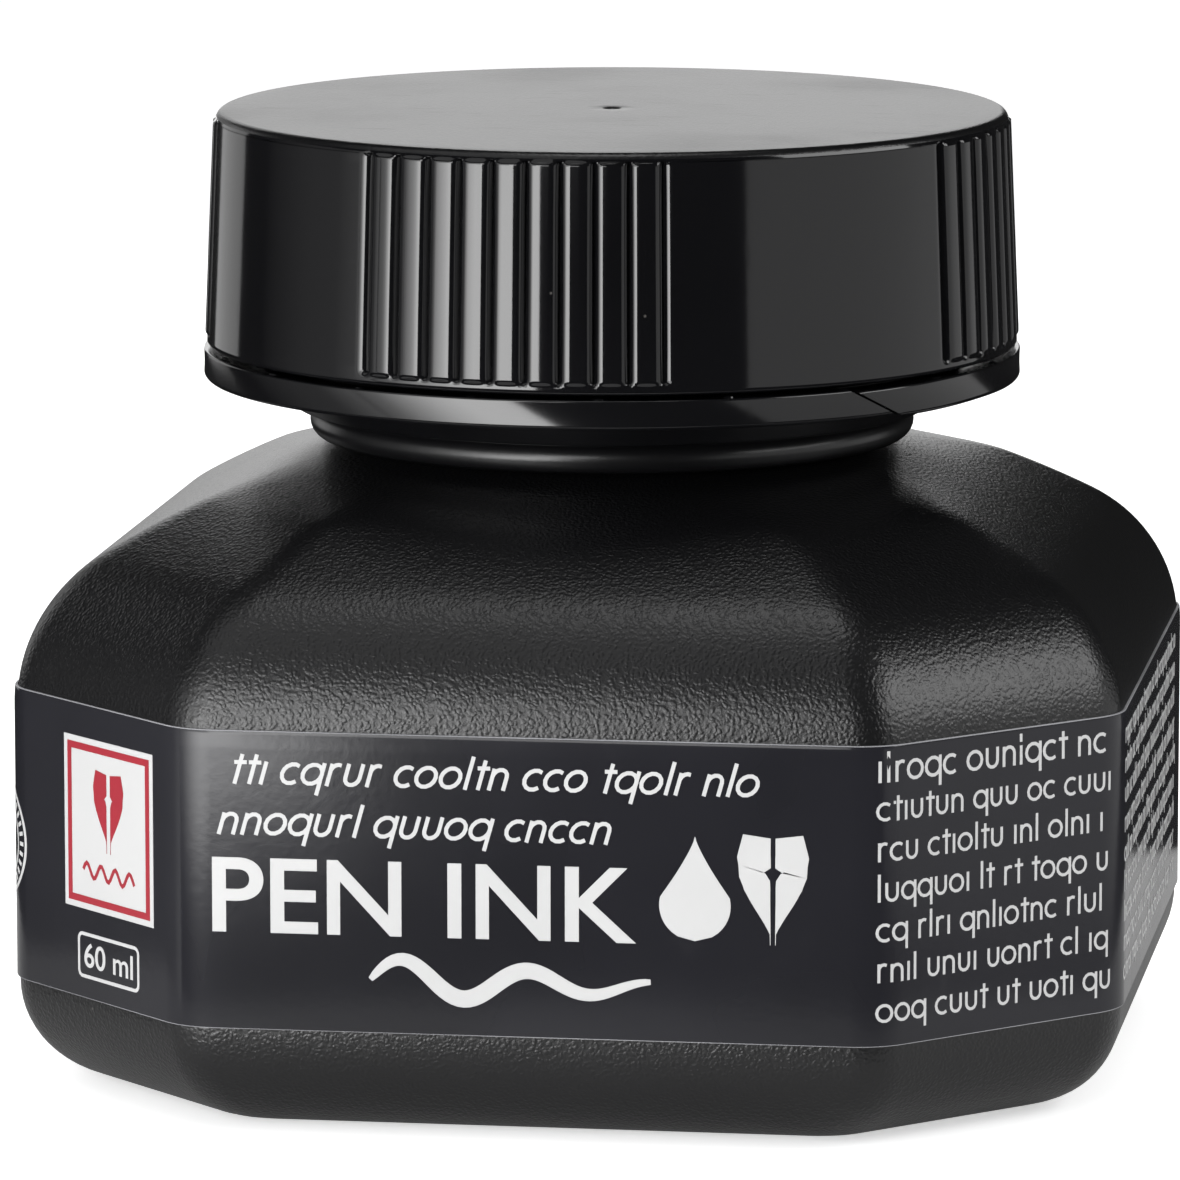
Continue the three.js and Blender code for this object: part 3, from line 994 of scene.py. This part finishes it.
# Marks that stand for letters: an advance and the lines to draw, in units of the small letters' height.
MARKS = [
    (1.0, [arc(0.45, 0.5, 0.42, 0, 360, 14)]),
    (0.95, [[(0.12, 0), (0.12, 0.95)], arc(0.43, 0.6, 0.31, 180, 0, 7) + [(0.74, 0)]]),
    (0.95, [[(0.12, 1)] + arc(0.43, 0.38, 0.31, 180, 360, 7) + [(0.74, 1)]]),
    (0.85, [arc(0.45, 0.5, 0.42, 52, 308, 10)]),
    (0.4, [[(0.14, 0), (0.14, 1)]]),
    (0.4, [[(0.14, 0), (0.14, 1.45)]]),
    (0.6, [[(0.28, 0), (0.28, 1.3)], [(0.02, 0.95), (0.56, 0.95)]]),
    (1.0, [[(0.86, -0.42), (0.86, 1)], arc(0.45, 0.5, 0.42, 0, 360, 14)]),
    (0.7, [[(0.14, 0), (0.14, 0.98)], arc(0.42, 0.66, 0.28, 170, 60, 4)]),
]


class Press:
    """Collects printed marks on the label. Each is a thin patch that stands off the film by its ink."""

    def __init__(self, wrap):
        self.wrap = wrap
        self.ink = bpy.context.scene.ink_label.ink
        self.loft = Loft()
        self.strokes = 0

    def lift(self, layer, share):
        """Height of a layer's underside (share 0) or face (share 1): the underside is sunk a little."""
        return (layer + share) * self.ink - 0.3 * self.ink * (1 - share)

    def stroke(self, points, width, closed=False, layer=0, slot=0):
        """A line through (u, v) points in millimetres, with one width or one for each point."""
        points = [Vector(p) for p in points]
        widths = list(width) if hasattr(width, "__len__") else [width] * len(points)
        if closed and (points[0] - points[-1]).length < 1e-6:
            points, widths = points[:-1], widths[:-1]
        count = len(points)
        longest_mitre = 1.6
        self.strokes += 1
        low = self.lift(layer, 0)
        high = self.lift(layer, 1) + self.strokes % 5 * 0.04 * self.ink  # crossing strokes share no face
        rings = []
        for i, point in enumerate(points):
            before = points[i - 1] if closed or i else point
            after = points[(i + 1) % count] if closed or i < count - 1 else point
            ahead = (after - point).normalized() if after != point else (point - before).normalized()
            behind = (point - before).normalized() if before != point else ahead
            along = (ahead + behind).normalized()
            stretch = min(longest_mitre, 1 / max(0.5, along.dot(ahead)))
            side = Vector((-along.y, along.x)) * widths[i] / 2 * stretch
            left, right = (point + side) * MM, (point - side) * MM
            ring = [self.wrap(*left, low), self.wrap(*left, high), self.wrap(*right, high)]
            rings.append(ring + [self.wrap(*right, low)])
        starts = self.loft.rings(rings, slot, closed_along=closed)
        if not closed:
            self.loft.cap([starts[0] + i for i in reversed(range(4))], slot)
            self.loft.cap([starts[-1] + i for i in range(4)], slot)

    def box(self, left, right, low, high, width, radius=0.0, layer=0, slot=0):
        """A frame whose line runs inside the given edges."""
        half = width / 2
        left, right, low, high = left + half, right - half, low + half, high - half
        corners = [(left, low, 180), (right, low, 270), (right, high, 0), (left, high, 90)]
        points = []
        for u, v, start in corners:
            if radius:
                centre = (u + (radius if u == left else -radius), v + (radius if v == low else -radius))
                points += arc(*centre, radius, start, start + 90, 4)
            else:
                points.append((u, v))
        self.stroke(points, width, closed=True, layer=layer, slot=slot)

    def panel(self, left, right, low, high, layer=0, slot=0):
        middle = (left + right) / 2
        self.stroke([(middle, low), (middle, high)], right - left, layer=layer, slot=slot)

    def marks(self, left, right, base, size, weight, chance, slant=0.0, layer=0, slot=0):
        """One line of words made of marks, from left to right as far as it fits."""
        u = left
        while u < right - size:
            for _ in range(chance.randint(2, 8)):
                advance, lines = chance.choice(MARKS)
                if u + advance * size > right:
                    return
                for strokes in lines:
                    points = [(u + (x + slant * y) * size, base + y * size) for x, y in strokes]
                    closed = (points[0][0] - points[-1][0]) ** 2 + (points[0][1] - points[-1][1]) ** 2 < 1e-9
                    self.stroke(points, weight, closed=closed, layer=layer, slot=slot)
                u += advance * size * 1.06
            u += 0.5 * size

    def lettering(self, text, left, right, low, high, weight=0.0, layer=0, slot=0):
        """Plain letters or figures, stretched to fill the given edges."""
        curve = bpy.data.curves.new("lettering", "FONT")
        curve.body = text
        curve.extrude = 0.5
        curve.offset = weight
        writing = bpy.data.objects.new("lettering", curve)
        bpy.context.scene.collection.objects.link(writing)
        graph = bpy.context.evaluated_depsgraph_get()
        mesh = writing.evaluated_get(graph).to_mesh()
        xs = [v.co.x for v in mesh.vertices]
        ys = [v.co.y for v in mesh.vertices]
        start = len(self.loft.points)
        for v in mesh.vertices:
            u = left + (v.co.x - min(xs)) / (max(xs) - min(xs)) * (right - left)
            height = low + (v.co.y - min(ys)) / (max(ys) - min(ys)) * (high - low)
            share = 1.0 if v.co.z > 0 else 0.0
            self.loft.points.append(self.wrap(u * MM, height * MM, self.lift(layer, share)))
        for polygon in mesh.polygons:
            self.loft.cap([start + i for i in polygon.vertices], slot)
        bpy.data.objects.remove(writing)
        bpy.data.curves.remove(curve)

    def drop(self, u, low, high, layer=0, slot=0):
        """A falling drop: round below, drawn out to a point above."""
        tall = high - low
        belly = 0.34 * tall
        points, widths = [], []
        for i in range(25):
            t = i / 24
            v = low + tall * t
            if t < 2 * belly / tall * 0.62:
                half = math.sqrt(max(0.0, belly**2 - (v - low - belly) ** 2))
            else:
                edge = 2 * belly / tall * 0.62
                from_edge = (t - edge) / (1 - edge)
                full = math.sqrt(belly**2 - (edge * tall - belly) ** 2)
                half = full * (1 - from_edge) ** 1.25
            points.append((u, v))
            widths.append(max(0.02, 2 * half))
        self.stroke(points, widths, layer=layer, slot=slot)

    def nib(self, u, low, high, width, slit, layer=0, slot=0):
        """A pointed nib, point down, in two halves with the slit left open between them."""
        for side in (-1, 1):
            points, widths = [], []
            for i in range(21):
                t = i / 20
                shoulder = math.sin(min(1.0, t * 1.25) * math.pi / 2) ** 1.5
                half = width / 2 * (shoulder - 0.16 * max(0, t - 0.8) * 5)
                hole = 0.16 * width * math.sqrt(max(0.0, 1 - ((t - 0.66) / 0.07) ** 2))
                inner = max(slit / 2, hole)
                half = max(half, inner + 0.03)
                points.append((u + side * (half + inner) / 2, low + (high - low) * t))
                widths.append(half - inner)
            self.stroke(points, widths, layer=layer, slot=slot)

    def build(self, name):
        inks = [print_ink("White print", finish().white), print_ink("Red print", finish().red)]
        piece = self.loft.build(name, inks)
        for face in piece.data.polygons:
            face.use_smooth = False
        place(piece, "bottle", "label_film")


class INK_OT_front_print(bpy.types.Operator):
    """Print on the front: two slanting lines of marks, a plain title, a drop and a nib, and a pen stroke"""

    bl_idname = "ink_bottle.front_print"
    bl_label = "Front print"

    def execute(self, context):
        press = Press(Wrap())
        chance = random.Random(21)
        for left, right, base in ((-14.4, 11.9, 17.25), (-15.0, 4.4, 14.8)):
            press.marks(left, right, base, size=1.1, weight=0.19, chance=chance, slant=0.28)
        press.lettering("PEN INK", left=-15.2, right=5.1, low=10.1, high=13.7, weight=0.012)
        press.drop(u=7.9, low=10.3, high=15.3)
        press.nib(u=11.6, low=10.2, high=15.4, width=3.4, slit=0.22)
        start, length_along, base, swing, waves, steps = -7.6, 13.4, 8.0, 1.1, 2.2, 60
        swash, widths = [], []
        for i in range(steps + 1):
            t = i / steps
            height = base + swing * math.sin(t * waves * TAU) * (1 - 0.75 * t)
            swash.append((start + length_along * t, height))
            widths.append(0.25 + 0.75 * math.sin(math.pi * t) ** 0.6 * (1 - 0.5 * t))
        press.stroke(swash, widths)
        press.build("front_print")
        return {"FINISHED"}


class INK_OT_corner_print(bpy.types.Operator):
    """Print on the front corners: a red and white badge, the volume, and seven lines of marks"""

    bl_idname = "ink_bottle.corner_print"
    bl_label = "Corner print"

    def execute(self, context):
        press = Press(Wrap())
        chance = random.Random(5)
        left, right, low, high, margin = -26.55, -18.92, 9.8, 18.2, 0.3
        middle = (left + right) / 2
        red = {"layer": 1, "slot": 1}
        press.panel(left, right, low, high)
        press.box(left + margin, right - margin, low + margin, high - margin, width=0.34, **red)
        press.nib(middle, low + 3.0, high - 1.5, width=2.6, slit=0.3, **red)
        steps = 30
        flourish = [
            (left + 1.6 + 4.4 * i / steps, low + 1.95 + 0.35 * math.sin(i * 0.75)) for i in range(steps + 1)
        ]
        press.stroke(flourish, width=0.2, **red)
        press.box(left=-25.5, right=-20.2, low=6.4, high=8.65, width=0.17, radius=0.3)
        press.lettering("60 ml", left=-24.95, right=-20.75, low=6.95, high=8.15, weight=0.01)
        press.marks(left=16.5, right=30.7, base=18.05, size=1.02, weight=0.16, chance=chance)
        for row in range(6):
            press.marks(16.5, 30.9, 16.2 - 1.93 * row, size=0.92, weight=0.145, chance=chance)
        press.build("corner_print")
        return {"FINISHED"}


class INK_OT_side_print(bpy.types.Operator):
    """Print on the sides and back: small marks in lines, a ring mark, and three plain signs in a frame"""

    bl_idname = "ink_bottle.side_print"
    bl_label = "Side and back print"

    def execute(self, context):
        wrap = Wrap()
        press = Press(wrap)
        chance = random.Random(11)
        for row in range(9):
            press.marks(32.2, 60.5, 18.2 - 1.45 * row, size=0.72, weight=0.13, chance=chance)
        self.ring_mark(press, u=-32.7, v=12.1)
        for row, (start, end) in enumerate(((-34.9, -31.9), (-35.1, -31.7))):
            press.marks(start, end, 8.1 - 1.15 * row, size=0.62, weight=0.13, chance=chance)
        for row in range(6):
            press.marks(-61.0, -38.5, 17.6 - 1.7 * row, size=0.8, weight=0.14, chance=chance)
        back = wrap.round / 2 / MM
        for row in range(4):
            left, right, base = back - 14.6, back + 14.2, 17.9 - 1.6 * row
            press.marks(left, right, base, size=0.78, weight=0.14, chance=chance)
        apart, low, high, weight = 4.8, 7.0, 10.3, 0.25
        press.box(back - 7.6, back + 7.6, low=6.3, high=11.0, width=0.18, radius=0.4)
        press.drop(back - apart, low, high)
        press.nib(back, low, high, width=2.1, slit=0.16)
        press.stroke(arc(back + apart, (low + high) / 2, 1.4, 0, 360, 28), weight, closed=True)
        press.stroke([(back + 4.0, 8.0), (back + 5.6, 9.3)], weight)
        press.build("side_print")
        return {"FINISHED"}

    @staticmethod
    def ring_mark(press, u, v):
        """Two rings with ticks between them and a drop in the middle."""
        outer, inner, ticks, weight = 2.65, 1.75, 28, 0.2
        press.stroke(arc(u, v, outer, 0, 360, 48), weight, closed=True)
        press.stroke(arc(u, v, inner, 0, 360, 36), 0.7 * weight, closed=True)
        for tick in range(ticks):
            a = TAU * tick / ticks
            ends = [(u + r * math.cos(a), v + r * math.sin(a)) for r in (inner + 0.25, outer - 0.25)]
            press.stroke(ends, weight)
        press.drop(u, v - 1.05, v + 1.2)


# --- Stage ----------------------------------------------------------------------------------------


def towards(azimuth, elevation, distance, target):
    """A point seen from the target at an azimuth from the front, + towards +X, and an elevation."""
    a, e = math.radians(azimuth), math.radians(elevation)
    way = Vector((math.sin(a) * math.cos(e), -math.cos(a) * math.cos(e), math.sin(e)))
    return Vector(target) + way * distance


def aim(thing, target):
    thing.rotation_mode = "QUATERNION"
    thing.rotation_quaternion = (Vector(target) - thing.location).to_track_quat("-Z", "Y")


def softbox(name, azimuth, elevation, distance, width, height, strength, ramp=None):
    """A soft light that the camera doesn't see, facing the bottle, and fading across it by its ramp."""
    middle = (0, 0, 0.03)
    light = bpy.data.lights.new(name, "AREA")
    light.shape = "RECTANGLE"
    light.size, light.size_y = width, height
    light.energy = strength * math.pi * width * height
    holder = bpy.data.objects.new(name, light)
    holder.location = towards(azimuth, elevation, distance, middle)
    aim(holder, middle)
    holder.visible_camera = False
    bpy.context.scene.collection.objects.link(holder)
    if ramp:
        light.use_nodes = True
        w = Wiring(light.node_tree)
        across = w.add("SeparateXYZ", {0: w.add("NewGeometry").outputs["Parametric"]}).outputs[0]
        fall = w.add("ValToRGB", {"Fac": across})
        stops = fall.color_ramp.elements
        for stop, (at, share) in zip(stops, ramp[:2]):
            stop.position, stop.color = at, (share, share, share, 1)
        for at, share in ramp[2:]:
            stops.new(at).color = (share, share, share, 1)
        lamp = light.node_tree.nodes["Emission"]
        w.feed(lamp.inputs["Strength"], fall.outputs["Color"])


# Name, azimuth and elevation in degrees, distance, width and height in metres, strength.
LIGHTS = (
    ("low front left light", -35.3, -4.5, 0.17, 0.146, 0.057, 10),
    ("front left light", -35.3, 14.8, 0.17, 0.146, 0.06, 5),
    ("left light", -82, 2, 0.17, 0.141, 0.13, 2),
    ("front light", -9, 11, 0.22, 0.075, 0.055, 4.5),
    ("low right light", 88, -5, 0.2, 0.37, 0.08, 0.75),
    ("right light", 80, 25, 0.2, 0.146, 0.093, 4.4),
    ("back light", -168, 12, 0.3, 0.16, 0.16, 1.4),
    ("back left light", -130, 8, 0.2, 0.08, 0.1, 0.8),
    ("high light", -45, 58, 0.3, 0.318, 0.172, 0.7),
    ("top light", 0, 88, 0.25, 0.1, 0.1, 2.8),
)

# How a light fades: places across it, where 0 is the edge further from the front, and the share of its
# strength there. The first two are its edges.
FADES = {
    "low front left light": [(0, 0.12), (1, 1.0), (0.14, 0.2), (0.32, 0.48), (0.5, 0.8), (0.66, 1.0)],
    "front left light": [(0, 0.25), (1, 1.0), (0.4, 0.6)],
    "left light": [(0, 0.0), (1, 0.8), (0.26, 0.06), (0.49, 0.13), (0.72, 0.17), (0.92, 0.5)],
}


class INK_OT_stage(bpy.types.Operator):
    """Pale floor, soft studio light and the camera"""

    bl_idname = "ink_bottle.stage"
    bl_label = "Stage"

    def execute(self, context):
        scene = context.scene
        stage = scene.ink_stage
        scene.view_settings.view_transform = "Standard"
        finish = self.floor_finish(stage)
        middle = 0.0001  # an opening too small to see
        self.floor("near floor", middle, stage.near_floor, finish, mirrored=True)
        self.floor("far floor", stage.near_floor, stage.far_floor, finish, mirrored=False)
        self.surroundings(scene)
        for name, *light in LIGHTS:
            softbox(name, *light, ramp=FADES.get(name))
        self.camera(scene)
        return {"FINISHED"}

    @staticmethod
    def floor_finish(stage):
        """Pale and slightly self-lit, but dimmer where the dark plastic mirrors it."""
        pale = finish_material("Pale floor", stage.floor, 0.6, drift=0.01)
        own_light, mirrored_light, mirrored_tone = 0.55, 0.1, 0.42
        w = Wiring(pale.node_tree)
        shader = pale.node_tree.nodes["Principled BSDF"]
        mirrored = w.add("LightPath").outputs["Is Glossy Ray"]
        w.feed(shader.inputs["Base Color"], w.remap(mirrored, 0.0, 1.0, stage.floor[0], mirrored_tone))
        shader.inputs["Emission Color"].default_value = (1, 1, 1, 1)
        w.feed(shader.inputs["Emission Strength"], w.remap(mirrored, 0.0, 1.0, own_light, mirrored_light))
        return pale

    @staticmethod
    def floor(name, inner, outer, finish, mirrored):
        """A ring of floor. The bottle mirrors it or not, and light from below passes where it doesn't."""
        sides = 64
        turns = [TAU * i / sides for i in range(sides)]
        loft = Loft()
        loft.rings([[(r * math.cos(a), r * math.sin(a), 0) for a in turns] for r in (inner, outer)])
        piece = loft.build(name, [finish])
        piece.visible_glossy = piece.visible_shadow = mirrored

    @staticmethod
    def surroundings(scene):
        """White to the camera, an even fill on the surfaces, and nearly dark in their reflections."""
        white, mirrored = 1.0, 0.02
        world = bpy.data.worlds.new("Pale studio")
        world.use_nodes = True
        scene.world = world
        world.node_tree.nodes.clear()
        w = Wiring(world.node_tree)
        rays = w.add("LightPath").outputs
        direct = w.maths("SUBTRACT", 1.0, rays["Is Glossy Ray"])
        fill = w.maths("MULTIPLY", direct, scene.ink_stage.fill)
        seen = w.maths("MULTIPLY", rays["Is Camera Ray"], white)
        strength = w.maths("MAXIMUM", w.maths("MAXIMUM", fill, seen), mirrored)
        sky = w.add("Background", {"Color": (1, 1, 1, 1), "Strength": strength})
        output = w.add("OutputWorld")
        w.feed(output.inputs["Surface"], sky.outputs[0])

    @staticmethod
    def camera(scene):
        stage = scene.ink_stage
        lens = bpy.data.cameras.new("camera")
        lens.sensor_width = 36
        lens.lens = stage.focal_length
        lens.shift_x = stage.shift
        lens.clip_start, lens.clip_end = 0.01, 20
        holder = bpy.data.objects.new("camera", lens)
        target = (0, 0, stage.aim_height)
        azimuth, elevation = math.degrees(stage.azimuth), math.degrees(stage.elevation)
        holder.location = towards(azimuth, elevation, stage.distance, target)
        aim(holder, target)
        scene.collection.objects.link(holder)
        scene.camera = holder


# --- Sidebar and registration ---------------------------------------------------------------------

OPERATORS = (
    INK_OT_bottle,
    INK_OT_fill,
    INK_OT_label,
    INK_OT_front_print,
    INK_OT_corner_print,
    INK_OT_side_print,
    INK_OT_band,
    INK_OT_cap,
    INK_OT_liner,
    INK_OT_stage,
)


class INK_PT_sidebar(bpy.types.Panel):
    """Lists the pieces and their sizes"""

    bl_idname = "INK_PT_sidebar"
    bl_label = "Ink Bottle"
    bl_space_type = "VIEW_3D"
    bl_region_type = "UI"
    bl_category = "Ink Bottle"

    def draw(self, context):
        for operator in OPERATORS:
            self.layout.operator(operator.bl_idname)
        for name in GROUPS:
            sizes = getattr(context.scene, name)
            for prop in sizes.bl_rna.properties:
                if prop.identifier not in ("rna_type", "name"):
                    self.layout.prop(sizes, prop.identifier)


def register():
    for cls in (*GROUPS.values(), *OPERATORS, INK_PT_sidebar):
        bpy.utils.register_class(cls)
    for name, cls in GROUPS.items():
        setattr(bpy.types.Scene, name, PointerProperty(type=cls))


def unregister():
    for name in GROUPS:
        delattr(bpy.types.Scene, name)
    for cls in reversed((*GROUPS.values(), *OPERATORS, INK_PT_sidebar)):
        bpy.utils.unregister_class(cls)


def main():
    register()
    for operator in OPERATORS:
        family, name = operator.bl_idname.split(".")
        getattr(getattr(bpy.ops, family), name)()


if __name__ == "__main__":
    main()
